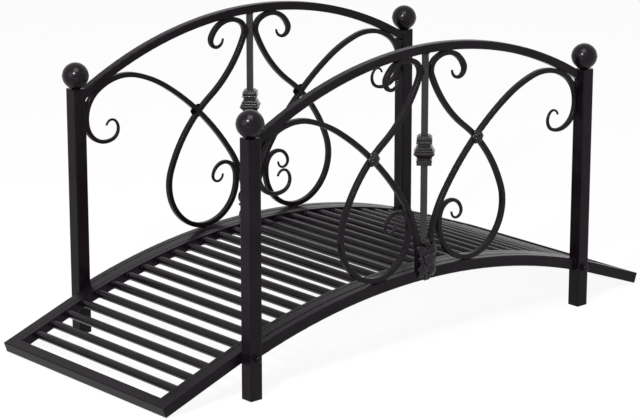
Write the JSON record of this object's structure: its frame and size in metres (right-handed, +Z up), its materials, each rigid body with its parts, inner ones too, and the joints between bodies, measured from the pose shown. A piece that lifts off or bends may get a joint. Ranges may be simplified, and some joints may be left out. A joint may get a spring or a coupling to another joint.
{
  "type": "garden footbridge",
  "caption": "Small welded steel garden footbridge: arched deck of round rungs, scrollwork side panels with cast flowers, and square posts topped with balls.",
  "frame": {"origin": "on the ground under the middle of the bridge", "axes": "+X along the walk, +Y across it, +Z up"},
  "size_m": [1.1386, 0.522, 0.5449],
  "materials": {
    "frame_paint": "satin black powder coat on square tube",
    "ball_paint": "satin black powder coat on pressed balls",
    "scroll_paint": "satin black powder coat on bent bar",
    "rung_paint": "satin black powder coat on round tube",
    "casting_paint": "satin black powder coat on small castings",
    "foot_plug": "matt black moulded plug"
  },
  "bodies": {
    "root": {"post_front_left": "frame_paint", "post_plug_front_left": "foot_plug", "ball_front_left": "ball_paint", "inner_scroll_front_left": "scroll_paint", "outer_scroll_front_left": "scroll_paint", "rosette_front_left": "casting_paint", "post_front_right": "frame_paint", "post_plug_front_right": "foot_plug", "ball_front_right": "ball_paint", "inner_scroll_front_right": "scroll_paint", "outer_scroll_front_right": "scroll_paint", "rosette_front_right": "casting_paint", "deck_side_front": "frame_paint", "deck_ledge_front": "frame_paint", "handrail_front": "frame_paint", "lower_rail_front": "frame_paint", "centre_bar_front": "frame_paint", "centre_collar_front": "casting_paint", "bottom_flower_front": "casting_paint", "post_rear_left": "frame_paint", "post_plug_rear_left": "foot_plug", "ball_rear_left": "ball_paint", "inner_scroll_rear_left": "scroll_paint", "outer_scroll_rear_left": "scroll_paint", "rosette_rear_left": "casting_paint", "post_rear_right": "frame_paint", "post_plug_rear_right": "foot_plug", "ball_rear_right": "ball_paint", "inner_scroll_rear_right": "scroll_paint", "outer_scroll_rear_right": "scroll_paint", "rosette_rear_right": "casting_paint", "deck_side_rear": "frame_paint", "deck_ledge_rear": "frame_paint", "handrail_rear": "frame_paint", "lower_rail_rear": "frame_paint", "centre_bar_rear": "frame_paint", "centre_collar_rear": "casting_paint", "bottom_flower_rear": "casting_paint", "deck_end_left": "frame_paint", "deck_end_right": "frame_paint", "rungs_left_ramp": "rung_paint", "rungs_left_arch": "rung_paint", "rungs_right_arch": "rung_paint", "rungs_right_ramp": "rung_paint"}
  },
  "joints": []
}
